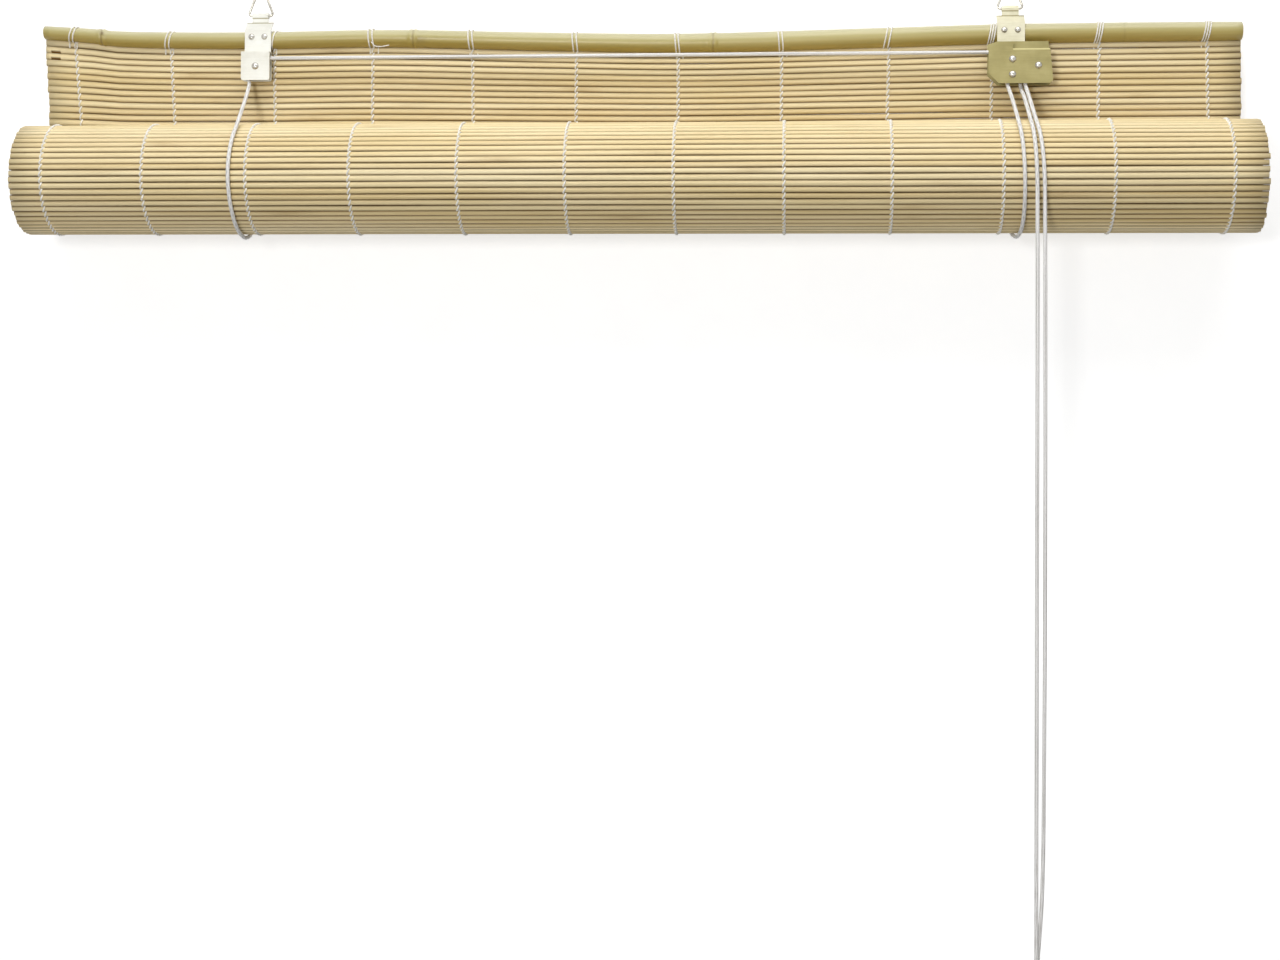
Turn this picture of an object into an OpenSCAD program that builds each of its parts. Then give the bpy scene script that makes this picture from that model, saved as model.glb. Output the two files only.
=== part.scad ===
// Bamboo roll-up blind that hangs by two wire rings from its head pole
// Frame in millimetres: +X along the pole, +Y to the wall, +Z up
// The origin lies midway between the two rings, where the hooks bear

/* [Mat] */
// Length of the slats, which is the width of the blind
mat_w = 800; // [600:10:1600]
// Distance from one slat to the next
slat_pitch = 4; // [3:0.1:8]
// Gap between neighbouring slats
slat_gap = 0.4; // [0.2:0.05:1]
// Thickness of a slat
slat_t = 2.3; // [1.5:0.1:4]
// Number of slats that hang flat above the roll's axis
flat_slats = 22; // [19:1:60]
// Diameter of the roll over its outer turn
roll_d = 75; // [50:1:90]
// Clearance between two turns of the roll
turn_gap = 0.35; // [0.2:0.05:1]

/* [Threads] */
// Number of warp threads across the mat
thread_count = 12; // [8:1:20]
// Distance from an outermost thread to the slat ends
thread_margin = 20.5; // [10:0.5:60]
// Diameter of a warp thread
thread_d = 0.9; // [0.6:0.1:1.4]
// Gap between the two turns of a lashing
lash_gap = 0.2; // [0.1:0.05:0.6]
// Angle over which a thread follows the roll's outer turn
thread_wrap = 320; // [200:5:325]

/* [Poles] */
// Diameter of the head pole
pole_d = 13.5; // [10:0.5:24]
// Overhang of the head pole past the slats at each end
pole_over = 2; // [1:0.5:30]
// Wall thickness of a bamboo pole
pole_wall = 2.6; // [2:0.1:4]
// Swelling of the head pole at a node
node_swell = 0.7; // [0.3:0.1:1.5]
// Length of the swelling at a node
node_len = 7; // [4:0.5:16]
// Diameter of the bottom pole inside the roll
core_d = 12; // [9:0.5:20]

/* [Hangers] */
// Sheet thickness of the brackets
plate_t = 1; // [0.8:0.1:1.6]
// Width of a hanger plate
hanger_w = 18; // [15:0.5:26]
// Width of the tab that holds a ring
tab_w = 11; // [8:0.5:14]
// Height of the tab's foot above the top of the pole
neck_clear = 5.2; // [4:0.1:10]
// Height of a ring's fold axis above the tab's foot
tab_h = 5; // [3.5:0.1:12]
// Distance between a hanger and the lashing beside it
hanger_side = 0.5; // [0.3:0.1:4]

/* [Rings] */
// Wire diameter of a hanging ring
ring_wire_d = 1.6; // [1.2:0.1:2.2]
// Height from the fold axis to the inside of the ring's top
ring_reach = 17; // [12:0.5:30]
// Play of a ring along each side of its tab
ring_play = 0.6; // [0.4:0.1:2]
// Bend radius of a ring's lower corners
ring_corner_r = 1.8; // [1.5:0.1:3]
// Bend radius of a ring's top
ring_top_r = 2.6; // [2:0.1:4.5]
// Running clearance of a ring in its eye
eye_play = 0.08; // [0.03:0.01:0.1]

/* [Fasteners] */
// Shank diameter of a bracket screw
screw_d = 2; // [1.6:0.1:3]
// Head diameter of a bracket screw
screw_head_d = 4.2; // [3.6:0.1:6]
// Head height of a bracket screw
screw_head_h = 1.3; // [0.8:0.1:2]
// Depth of a bracket screw in the pole
screw_depth = 4.5; // [3:0.1:6]
// Distance between the two screws of a bracket
screw_spread = 8.8; // [8:0.1:9]
// Height of the screws above the pole's axis
screw_rise = 1.5; // [0:0.1:2]
// Head diameter of a rivet
rivet_head_d = 4.8; // [4:0.1:6]
// Height of a rivet's domed head
rivet_head_h = 1.4; // [0.8:0.1:2]
// Thickness of a rivet's flat tail
rivet_tail_h = 0.8; // [0.5:0.1:1.2]
// Clearance of screws and rivets in their holes
hole_play = 0.05; // [0.03:0.01:0.1]

/* [Pulleys] */
// Diameter of the cord
cord_d = 2.5; // [2:0.1:3]
// Diameter of a pulley's axle
axle_d = 3; // [2.4:0.1:3.6]
// Running clearance of a pulley or the cam on its axle
axle_play = 0.05; // [0.03:0.01:0.1]
// Diameter at the bottom of a pulley's groove
groove_d = 7.6; // [7:0.1:8]
// Diameter of a pulley's flanges
flange_d = 11.6; // [11:0.1:12.4]
// Width of a pulley for each of its grooves
groove_w = 4; // [3.8:0.1:5]
// Side play of a pulley or the cam between its plates
side_play = 0.3; // [0.2:0.05:0.6]
// Drop of the pulleys' axles below the pole's axis
axle_drop = 19.5; // [19:0.1:20.5]

/* [Left pulley housing] */
// Width of the housing's cheeks
cheek_w = 19.5; // [16:0.5:24]
// Drop of the housing's top below the pole's axis
cheek_top = 9.6; // [8.6:0.1:10.2]
// Drop of the housing's bottom below the pole's axis
cheek_drop = 29; // [27:0.1:32]
// Rounding of the lower corners of cheeks and hangers
corner_r = 1.5; // [0.8:0.1:3]

/* [Cord lock] */
// Reach of the lock's plates to the left of their axle
lock_left = 15.5; // [14:0.1:22]
// Reach of the lock's plates to the right of their axle
lock_right = 26.2; // [25.5:0.1:29]
// Drop of the back plate's top below the pole's axis
lock_top = 6.4; // [5.5:0.1:8]
// Drop of the front plate's top below the pole's axis
lock_front_top = 8.4; // [7:0.1:9.5]
// Depth of the step in the front plate's top edge
lock_step = 4.3; // [3:0.1:6]
// Drop of the plates' bottom below the pole's axis
lock_drop = 35.4; // [34:0.1:40]
// Size of the cut corner at the lower left
lock_cut = 6.5; // [3:0.1:8]
// Size of the small cut corners
lock_nick = 2; // [1:0.1:3]
// Drop of the guide rivet below the pole's axis
guide_drop = 29.5; // [29:0.1:30.5]
// Diameter of the guide rivet between the plates
guide_d = 3.8; // [3.4:0.1:4.2]
// Distance of the cam's axle to the right of the pulley's
cam_side = 16.7; // [16.4:0.1:18]
// Drop of the cam's axle below the pole's axis
cam_drop = 23.7; // [23:0.1:24.5]
// Reach of the cam's toothed nose
cam_reach = 8.8; // [8:0.1:8.9]
// Depth of the cam's teeth
cam_tooth = 0.6; // [0.3:0.1:1]
// Diameter of the cam's hub
cam_hub_d = 6.6; // [5.6:0.1:7.5]
// Diameter of the cam's weighted tail
cam_tail_d = 7.6; // [7.2:0.1:8.2]
// Distance of the tail's centre from the cam's axle
cam_tail_reach = 4.1; // [3.8:0.1:4.3]

/* [Cord ends] */
// Diameter of the knots in the cords
knot_d = 5.4; // [4.5:0.1:6]
// Thickness of the flat wire of a cord staple
staple_t = 0.7; // [0.5:0.1:1]
// Width of the flat wire of a cord staple
staple_w = 1.3; // [1:0.1:2]
// Depth of a cord staple in the pole
staple_depth = 3.5; // [2:0.1:4]
// Distance of a lift cord to the left of its bracket's axle
lift_side = 5; // [4.5:0.1:5.5]
// Straight run of the hank of spare cord
hank_run = 46; // [40:1:60]
// Width of the hank of spare cord
hank_w = 28; // [24:0.5:34]
// Thickness of the hank of spare cord
hank_t = 31; // [26:0.5:36]
// Height of the hank's tie
tie_h = 6; // [4:0.5:10]
// Thickness of the hank's tie
tie_t = 1.5; // [1:0.1:2.5]

/* [Hidden] */
// Clearance between pieces that only lie against each other
seat_gap = 0.3;
// Smoothness of round solids
$fn = 48;

pole_r = pole_d / 2;
pole_len = mat_w + 2 * pole_over;
pole_bore_r = pole_r - pole_wall;
core_bore_r = core_d / 2 - pole_wall;
slat_w = slat_pitch - slat_gap;
cord_r = cord_d / 2;
knot_r = knot_d / 2;
thread_r = thread_d / 2;

// Heights of the main axes
eye_rise = pole_r + neck_clear + tab_h;
pole_z = -ring_reach - eye_rise;
mat_top = pole_r + thread_d + 2 * seat_gap;
roll_drop = mat_top + slat_w / 2 + flat_slats * slat_pitch;
roll_z = pole_z - roll_drop;
axle_z = pole_z - axle_drop;

// Threads across the mat, and the brackets beside the third ones
thread_pitch = (mat_w - 2 * thread_margin) / (thread_count - 1);
lash_pitch = thread_d + lash_gap;
lash_w = lash_pitch + thread_d;
bracket_thread = 2;
bracket_x = -thread_x(bracket_thread) + lash_w / 2 + hanger_side + hanger_w / 2;

// Layers of the brackets from the pole to the front
seat_y = -pole_r;
hanger_y = seat_y - plate_t;
inner_y = hanger_y - plate_t;
left_gap = groove_w + 2 * side_play;
left_front_y = inner_y - left_gap;
lock_gap = 2 * groove_w + 2 * side_play;
lock_front_y = inner_y - lock_gap;
left_hanger_drop = cheek_drop;
right_hanger_drop = guide_drop + rivet_head_d / 2 + corner_r;

// Bend of the hangers, as shares of the pole's radius
bend_share = 0.9;

// Nodes of the head pole, in these bays and at this share of a bay
node_bays = [0, 3, 6, 10];
node_share = 0.22;

// Spiral of the roll
turn_pitch = slat_t + turn_gap;
turn_rate = turn_pitch / (2 * PI);
roll_r0 = roll_d / 2 - slat_t / 2;
roll_r1 = core_d / 2 + seat_gap + slat_t / 2;
roll_y = -roll_r0;
roll_len = (roll_r0 * roll_r0 - roll_r1 * roll_r1) / (2 * turn_rate);
roll_slats = floor(roll_len / slat_pitch);
outer_slats = ceil(2 * PI * roll_r0 / slat_pitch);

// Outline of a slat in the roll: place along the pitch and height of the ridge
ridge_shares = [[-0.5, 0.2], [-0.27, 0.8], [0, 1], [0.27, 0.8]];
notch_shares = [[-0.5, 0.25], [0, 1]];

// Number of sides of a hanging slat, and of the strips that join the slats
slat_sides = 10;
bridge_count = 4;
bridge_t = slat_t / 3;
thread_steps = 32;

// Ring of bent wire
ring_wire_r = ring_wire_d / 2;
eye_r = ring_wire_r + eye_play;
eye_out_r = eye_r + plate_t;
ring_half = tab_w / 2 + ring_play;
bend_fat_share = 1.05;
bend_wire_r = bend_fat_share * ring_wire_r;
wire_lap = ring_wire_r / 4;
ring_top_h = ring_reach - ring_top_r + bend_wire_r;
leg_len = norm([ring_half, ring_top_h - ring_corner_r]);
leg_lean = atan2(ring_top_h - ring_corner_r, ring_half);
leg_a = acos((ring_top_r - ring_corner_r) / leg_len) - leg_lean;

// Cam: angles of its toothed face and growth of its radius over them
cam_from = 184;
cam_to = 216;
cam_teeth = 5;
cam_low_share = 0.96;
cam_root_share = 0.75;
cam_tail_share = 0.28;

// Routes of the two cords, in round numbers
tube_sides = 8;
left_route = [
    [-257, 8.5, -34], [-257, 6.8, -44], [-257, 4, -54], [-256.8, 3, -68], [-254, 3, -132],
    [-253.6, 0.5, -146], [-253.2, -6.5, -157.5], [-252.6, -17, -166], [-252, -30, -170.5],
    [-251.8, -43, -170.5], [-252, -56, -166], [-252.4, -66, -157], [-252.8, -72.5, -145],
    [-253, -74.5, -132], [-252.8, -72, -119], [-252.4, -65.5, -107.5], [-252.5, -57, -100],
    [-256.2, -14, -67], [-256.7, -11.4, -63.5], [-257.6, -11, -53.5], [-256, -11, -49.5],
    [-252, -11, -47.8], [-248, -11, -47.8], [248, -11, -47.8], [252, -11, -47.8],
    [256, -11, -49.5], [257.6, -11, -53.5], [257.4, -11, -60], [257.6, -11, -66.5],
    [257.9, -11.6, -70.5], [258.2, -14.5, -73.8], [258.5, -20, -76.5], [259.8, -55, -99],
    [260.4, -65.5, -107.5], [261, -72, -119], [261.5, -74.5, -132], [261.8, -74.8, -146],
    [262, -74.8, -560], [262, -75.3, -610], [262, -75.5, -654]
];
right_route = [
    [247, 8.5, -34], [247, 6.8, -44], [247, 4, -54], [247, 3, -68], [247.6, 3, -132],
    [248.4, 0.5, -146], [249.6, -6.5, -157.5], [251, -17, -166], [252.4, -30, -170.5],
    [253.6, -43, -170.5], [254.4, -56, -166], [254.6, -66, -157], [254.4, -72.5, -145],
    [254, -74.5, -132], [253.4, -72, -119], [252.6, -65.5, -107.5], [252, -55, -99],
    [250.2, -23, -77], [249.6, -18, -73.2], [249, -15.4, -70], [248.5, -15, -66.5],
    [248.2, -15, -61], [246.4, -15, -53.5], [248, -15, -49.5], [252, -15, -47.8],
    [256, -15, -49.5], [257.6, -15, -53.5], [260, -15, -66.5], [260.5, -15.4, -70],
    [261, -18, -73.2], [261.5, -23, -77], [263.2, -55, -99], [264.2, -65.5, -107.5],
    [265.2, -72, -119], [266, -74.5, -132], [266.4, -74.8, -146], [266.4, -74.8, -540],
    [265.4, -73.6, -590], [263, -72.6, -628], [262, -72.6, -654]
];
tail_routes = [
    [[262, -50, -716.5], [262, -51, -722], [262, -53, -731]],
    [[262, -46.5, -716.5], [262, -45.5, -722], [262, -43.5, -731]]
];
hank_at = [274.7, -61, -685];

// Place of a thread along the pole
function thread_x(i) = -mat_w / 2 + thread_margin + i * thread_pitch;

// Radius, angle and points of the roll's spiral, from its start behind the roll
function roll_r(a) = roll_r0 - turn_pitch * a / 360;
function roll_a(s) = (roll_r0 - sqrt(roll_r0 * roll_r0 - 2 * turn_rate * s)) / turn_rate * 180 / PI;
function roll_pt(a, e) = [(roll_r(a) + e) * cos(a), -(roll_r(a) + e) * sin(a)];
function ridge_pt(i, share, side) =
    roll_pt(roll_a((i + share[0]) * slat_pitch), side * share[1] * slat_t / 2);

// Points of an arc
function arc(at, r, from, to, steps) =
    [for (k = [0:steps]) at + r * [cos(from + (to - from) * k / steps), sin(from + (to - from) * k / steps)]];

// Plate outline with a flat top and rounded lower corners
function tongue(w, top, drop, r) = concat(
    [[-w / 2, -top]],
    arc([-w / 2 + r, -drop + r], r, 180, 270, 6),
    arc([w / 2 - r, -drop + r], r, 270, 360, 6),
    [[w / 2, -top]]
);

// Tube along a route, as rings about its points
function unit(v) = v / norm(v);
function heading(p, i) = unit(p[min(i + 1, len(p) - 1)] - p[max(i - 1, 0)]);
function across(v, t) = unit(v - (v * t) * t);
function sides_of(p, i, v) = i == len(p)
    ? []
    : concat([across(v, heading(p, i))], sides_of(p, i + 1, across(v, heading(p, i))));
function ring_at(p, t, v, r, n) =
    [for (j = [0:n - 1]) p + r * (cos(360 * j / n) * v + sin(360 * j / n) * cross(t, v))];

module tube(p, r, n) {
    v = sides_of(p, 0, [1, 0.3, 0]);
    last = len(p) - 1;
    points = [for (i = [0:last]) each ring_at(p[i], heading(p, i), v[i], r, n)];
    walls = [for (i = [0:last - 1]) for (j = [0:n - 1])
        [i * n + j, i * n + (j + 1) % n, (i + 1) * n + (j + 1) % n, (i + 1) * n + j]];
    first_cap = [for (j = [n - 1:-1:0]) j];
    last_cap = [for (j = [0:n - 1]) last * n + j];
    polyhedron(points, [for (f = concat([first_cap], walls, [last_cap])) [for (k = [len(f) - 1:-1:0]) f[k]]]);
}

// Extrusion along the pole of an outline across it
module along_x(w) {
    rotate([90, 0, 90])
        linear_extrude(height = w, center = true)
            children();
}

// Sheet in the plane of the brackets, of an outline about the pole's axis
module sheet(x, y, t) {
    translate([x, y, pole_z])
        rotate([90, 0, 0])
            linear_extrude(height = t)
                children();
}

// Hole or pin from back to front
module pin(x, y, z, r, len) {
    translate([x, y, z])
        rotate([90, 0, 0])
            cylinder(r = r, h = len);
}

// Section of a domed head on top of a shank
module dome(head_r, head_h, at) {
    dome_r = (head_r * head_r + head_h * head_h) / (2 * head_h);
    intersection() {
        translate([0, at + head_h - dome_r])
            circle(r = dome_r, $fn = 96);
        translate([0, at])
            square([head_r, head_h]);
    }
}

// Rivet through a stack of plates, with a thicker middle where one is asked for
module rivet(x, z, stack, mid_from, mid_to, mid_r) {
    translate([x, seat_y, z])
        rotate([90, 0, 0])
            rotate_extrude() {
                translate([0, -rivet_tail_h])
                    square([rivet_head_d / 2, rivet_tail_h]);
                square([axle_d / 2, stack]);
                translate([0, mid_from])
                    square([mid_r, mid_to - mid_from]);
                dome(rivet_head_d / 2, rivet_head_h, stack);
            }
}

// Pulley with a number of round grooves side by side
module pulley(x, grooves) {
    width = grooves * groove_w;
    seat_r = cord_r + seat_gap / 3;
    path_r = groove_d / 2 + seat_r;
    translate([x, inner_y - side_play, axle_z])
        rotate([90, 0, 0])
            rotate_extrude()
                difference() {
                    translate([axle_d / 2 + axle_play, 0])
                        square([flange_d / 2 - axle_d / 2 - axle_play, width]);
                    for (k = [0:grooves - 1])
                        translate([path_r, (k + 1 / 2) * groove_w]) {
                            circle(r = seat_r);
                            translate([0, -seat_r])
                                square([flange_d, 2 * seat_r]);
                        }
                }
}

// Hanger: front plate, sloping neck over the pole, tab and rolled eye
module hanger(x, drop, holes) {
    bend = bend_share * pole_r;
    neck = pole_r + neck_clear;
    tab_y = -eye_out_r;
    difference() {
        union() {
            sheet(x, seat_y, plate_t)
                polygon(tongue(hanger_w, -bend, drop, corner_r));
            translate([x, 0, pole_z])
                along_x(hanger_w)
                    polygon([
                        [hanger_y, bend],
                        [seat_y, bend],
                        [tab_y + plate_t, neck],
                        [tab_y, neck]
                    ]);
            translate([x, 0, pole_z])
                along_x(tab_w)
                    difference() {
                        union() {
                            translate([tab_y, neck])
                                square([plate_t, tab_h]);
                            translate([0, eye_rise])
                                circle(r = eye_out_r);
                        }
                        translate([0, eye_rise])
                            circle(r = eye_r);
                    }
        }
        for (s = [-1, 1])
            pin(x + s * screw_spread / 2, 0, pole_z + screw_rise, screw_d / 2 + hole_play, pole_d);
        for (d = holes)
            pin(x, 0, pole_z - d, axle_d / 2 + hole_play, pole_d);
    }
}

// Hanging ring: base wire in the eye, two legs and three round bends
module wire_bend(at, r, from, to) {
    translate([at[0], 0, at[1]])
        rotate([90, 0, 0])
            rotate([0, 0, from])
                rotate_extrude(angle = to - from)
                    translate([r, 0])
                        circle(r = bend_wire_r);
}
module wire_leg(side) {
    foot = [ring_half + ring_corner_r * cos(leg_a), ring_corner_r + ring_corner_r * sin(leg_a)];
    head = [ring_top_r * cos(leg_a), ring_top_h + ring_top_r * sin(leg_a)];
    translate([side * foot[0], 0, foot[1]])
        rotate([0, side * atan2(head[0] - foot[0], head[1] - foot[1]), 0])
            translate([0, 0, -wire_lap])
                cylinder(r = ring_wire_r, h = norm(head - foot) + 2 * wire_lap);
}
module ring(x) {
    translate([x, 0, -ring_reach]) {
        translate([-ring_half - wire_lap, 0, 0])
            rotate([0, 90, 0])
                cylinder(r = ring_wire_r, h = 2 * ring_half + 2 * wire_lap);
        wire_bend([ring_half, ring_corner_r], ring_corner_r, -90, leg_a);
        wire_bend([-ring_half, ring_corner_r], ring_corner_r, 180 - leg_a, 270);
        wire_bend([0, ring_top_h], ring_top_r, leg_a, 180 - leg_a);
        wire_leg(1);
        wire_leg(-1);
    }
}

// Bamboo poles: swollen at the nodes, hollow at the ends
node_x = [for (b = node_bays) if (b < thread_count - 1) thread_x(b) + node_share * thread_pitch];
module head_pole() {
    color("#b9a768")
        difference() {
            translate([0, 0, pole_z])
                rotate([0, 90, 0])
                    rotate_extrude()
                        polygon(concat(
                            [[0, -pole_len / 2], [pole_r, -pole_len / 2]],
                            [for (x = node_x) each [
                                [pole_r, x - node_len / 2],
                                [pole_r + node_swell, x - node_len / 6],
                                [pole_r + node_swell / 3, x],
                                [pole_r + node_swell, x + node_len / 6],
                                [pole_r, x + node_len / 2]
                            ]],
                            [[pole_r, pole_len / 2], [0, pole_len / 2]]
                        ));
            translate([-pole_len / 2, 0, pole_z])
                rotate([0, 90, 0])
                    cylinder(r = pole_bore_r, h = node_x[0] + pole_len / 2 - node_len / 2);
            translate([pole_len / 2, 0, pole_z])
                rotate([0, -90, 0])
                    cylinder(r = pole_bore_r, h = thread_margin);
            for (b = [-1, 1]) {
                for (s = [-1, 1])
                    pin(b * bracket_x + s * screw_spread / 2, -pole_r + screw_depth + hole_play,
                        pole_z + screw_rise, screw_d / 2 + hole_play, pole_r);
                staple(b * bracket_x - lift_side, hole_play);
            }
        }
}
module bottom_pole() {
    color("#b9a768")
        translate([0, roll_y, roll_z])
            rotate([0, 90, 0])
                difference() {
                    cylinder(r = core_d / 2, h = mat_w, center = true);
                    for (s = [-1, 1])
                        translate([0, 0, s * mat_w / 2])
                            cylinder(r = core_bore_r, h = 2 * thread_margin, center = true);
                }
}

// Mat: slats that hang flat, joined at some of the threads, with open gaps between
module hanging_mat() {
    color("#e6d09c") {
        for (i = [1:flat_slats])
            translate([0, 0, roll_z + i * slat_pitch])
                along_x(mat_w)
                    polygon([for (k = [0:slat_sides - 1])
                        [slat_t / 2 * cos(360 * k / slat_sides), slat_w / 2 * sin(360 * k / slat_sides)]]);
        for (k = [0:bridge_count - 1])
            translate([
                thread_x(round((thread_count - 1) * k / (bridge_count - 1))) - thread_d / 2,
                -bridge_t / 2,
                roll_z + slat_pitch
            ])
                cube([thread_d, bridge_t, (flat_slats - 1) * slat_pitch]);
    }
}

// Mat: the rolled part, one spiral of ridged turns
module rolled_mat() {
    outside = [for (i = [0:roll_slats - 1])
        for (s = i < outer_slats ? ridge_shares : notch_shares) ridge_pt(i, s, 1)];
    inside = [for (i = [roll_slats:-1:0])
        for (k = i == roll_slats ? [0] : [1, 0]) ridge_pt(i, notch_shares[k], -1)];
    color("#e6d09c")
        translate([0, roll_y, roll_z])
            along_x(mat_w)
                polygon(concat(outside, [ridge_pt(roll_slats, notch_shares[0], 1)], inside));
}

// Threads: one in front of the hanging slats, one behind them and on round the roll
thread_near = slat_t / 2 + seat_gap / 2;
thread_far = thread_near + thread_d;
module warp_threads() {
    top = roll_drop - mat_top;
    rim_r = roll_r0 - turn_pitch + slat_t / 2;
    free_r = roll_r0 - thread_far - seat_gap;
    stop = sqrt(max(rim_r * rim_r - free_r * free_r, 0)) + seat_gap;
    color("#f2eee4")
        for (i = [0:thread_count - 1])
            translate([thread_x(i), 0, roll_z]) {
                along_x(thread_d)
                    polygon([
                        [-thread_near, stop],
                        [-thread_near, top],
                        [-thread_far, top],
                        [-thread_far, stop]
                    ]);
                along_x(thread_d)
                    polygon(concat(
                        [[thread_near, top]],
                        [for (k = [0:thread_steps])
                            [roll_y, 0] + roll_pt(thread_wrap * k / thread_steps, thread_near)],
                        [for (k = [thread_steps:-1:0])
                            [roll_y, 0] + roll_pt(thread_wrap * k / thread_steps, thread_far)],
                        [[thread_far, top]]
                    ));
            }
}
module pole_lashings() {
    color("#f2eee4")
        for (i = [0:thread_count - 1])
            for (s = [-1, 1])
                translate([thread_x(i) + s * lash_pitch / 2, 0, pole_z])
                    rotate([0, 90, 0])
                        rotate_extrude()
                            translate([pole_r + thread_r + seat_gap / 3, 0])
                                circle(r = thread_r, $fn = 16);
}

// Hangers, rings and screws
module left_hanger() {
    color("#e6dfc4")
        hanger(-bracket_x, left_hanger_drop, [axle_drop]);
}
module right_hanger() {
    color("#e6dfc4")
        hanger(bracket_x, right_hanger_drop, [axle_drop, guide_drop]);
}
module left_ring() {
    color("#d8d6cf")
        ring(-bracket_x);
}
module right_ring() {
    color("#d8d6cf")
        ring(bracket_x);
}
module bracket_screws() {
    color("#cfc9b4")
        for (b = [-1, 1])
            for (s = [-1, 1])
                translate([b * bracket_x + s * screw_spread / 2, seat_y + screw_depth, pole_z + screw_rise])
                    rotate([90, 0, 0])
                        rotate_extrude() {
                            square([screw_d / 2, screw_depth + plate_t]);
                            dome(screw_head_d / 2, screw_head_h, screw_depth + plate_t);
                        }
}

// Left bracket: folded pulley housing, pulley and axle
module left_housing() {
    color("#e6dfc4")
        difference() {
            union() {
                sheet(-bracket_x, hanger_y, plate_t)
                    polygon(tongue(cheek_w, cheek_top, cheek_drop, corner_r));
                sheet(-bracket_x, left_front_y, plate_t)
                    polygon(tongue(cheek_w, cheek_top, cheek_drop, corner_r));
                translate([-bracket_x - cheek_w / 2, left_front_y, pole_z - cheek_top - plate_t])
                    cube([cheek_w, left_gap, plate_t]);
            }
            pin(-bracket_x, 0, axle_z, axle_d / 2 + hole_play, pole_r + lock_gap + pole_d);
        }
}
module left_pulley() {
    color("#c9b98a")
        pulley(-bracket_x, 1);
}
module left_axle() {
    color("#cfc08c")
        rivet(-bracket_x, axle_z, left_gap + 3 * plate_t, 0, plate_t, axle_d / 2);
}

// Right bracket: cord lock of two plates with pulley, guide and cam between them
function lock_outline(top, step) = [
    [-lock_left, -top - lock_nick],
    [-lock_left + lock_cut, -top],
    [0, -top],
    [0, -top - step],
    [lock_right - lock_nick, -top - step],
    [lock_right, -lock_drop + lock_nick],
    [lock_right - lock_nick, -lock_drop],
    [-lock_left + lock_cut, -lock_drop],
    [-lock_left, -lock_drop + lock_cut]
];
module lock_plate(y, top, step) {
    difference() {
        sheet(bracket_x, y, plate_t)
            polygon(lock_outline(top, step));
        pin(bracket_x, 0, axle_z, axle_d / 2 + hole_play, pole_d + lock_gap);
        pin(bracket_x, 0, pole_z - guide_drop, axle_d / 2 + hole_play, pole_d + lock_gap);
        pin(bracket_x + cam_side, 0, pole_z - cam_drop, axle_d / 2 + hole_play, pole_d + lock_gap);
    }
}
module lock_back_plate() {
    color("#b9ad75")
        lock_plate(hanger_y, lock_top, 0);
}
module lock_front_plate() {
    color("#b9ad75")
        lock_plate(lock_front_y, lock_front_top, lock_step);
}
module lock_pulley() {
    color("#c9b98a")
        pulley(bracket_x, 2);
}
module lock_axle() {
    color("#cfc08c")
        rivet(bracket_x, axle_z, lock_gap + 3 * plate_t, 0, plate_t, axle_d / 2);
}
module lock_guide() {
    color("#cfc08c")
        rivet(bracket_x, pole_z - guide_drop, lock_gap + 3 * plate_t, 2 * plate_t, lock_gap + 2 * plate_t,
            guide_d / 2);
}
module lock_cam_axle() {
    color("#cfc08c")
        translate([0, -plate_t, 0])
            rivet(bracket_x + cam_side, pole_z - cam_drop, lock_gap + 2 * plate_t, 0, plate_t, axle_d / 2);
}
module lock_cam() {
    root = cam_root_share * cam_hub_d / 2;
    teeth = [for (k = [0:2 * cam_teeth])
        let (
            share = k / (2 * cam_teeth),
            a = cam_from + (cam_to - cam_from) * share,
            r = cam_reach * (cam_low_share + (1 - cam_low_share) * share) - (k % 2) * cam_tooth
        )
        r * [cos(a), sin(a)]];
    color("#d6c88f")
        translate([bracket_x + cam_side, inner_y - side_play, pole_z - cam_drop])
            rotate([90, 0, 0])
                linear_extrude(height = 2 * groove_w)
                    difference() {
                        union() {
                            circle(r = cam_hub_d / 2);
                            translate([cam_tail_reach, cam_tail_share * cam_tail_reach])
                                circle(r = cam_tail_d / 2);
                            polygon(concat([[0, root]], teeth, [[0, -root]]));
                        }
                        circle(r = axle_d / 2 + axle_play);
                    }
}

// Lift and pull cords with their staples, knots and hank
module staple(x, play) {
    leg_x = cord_r + seat_gap;
    crown_y = pole_r + cord_d + 2 * seat_gap;
    translate([x, 0, pole_z - staple_w / 2]) {
        for (s = [0, 1])
            mirror([s, 0, 0])
                translate([leg_x - play, pole_r - staple_depth - play, -play])
                    cube([staple_t + 2 * play, crown_y - pole_r + staple_depth + staple_t + play,
                        staple_w + 2 * play]);
        translate([-leg_x - staple_t, crown_y, 0])
            cube([2 * leg_x + 2 * staple_t, staple_t, staple_w]);
    }
}
module cord_staples() {
    color("#c4c4c0")
        for (b = [-1, 1])
            staple(b * bracket_x - lift_side, 0);
}
module left_cord() {
    color("#f4f2ec")
        tube(left_route, cord_r, tube_sides);
}
module right_cord() {
    color("#f4f2ec")
        tube(right_route, cord_r, tube_sides);
}
module anchor_knots() {
    color("#f4f2ec")
        for (p = [left_route[0], right_route[0]])
            translate(p + [0, 2 * seat_gap, knot_r + 3 * seat_gap])
                sphere(r = knot_r);
}
module cord_hank() {
    color("#f4f2ec")
        translate(hank_at)
            rotate([90, 0, 0])
                linear_extrude(height = hank_t, center = true) {
                    square([hank_w, hank_run], center = true);
                    for (s = [-1, 1])
                        translate([0, s * hank_run / 2])
                            circle(r = hank_w / 2);
                }
}
module hank_tie() {
    color("#e9e5da")
        translate(hank_at)
            linear_extrude(height = tie_h, center = true)
                difference() {
                    square([hank_w + 2 * seat_gap + 2 * tie_t, hank_t + 2 * seat_gap + 2 * tie_t], center = true);
                    square([hank_w + 2 * seat_gap, hank_t + 2 * seat_gap], center = true);
                }
}
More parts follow.
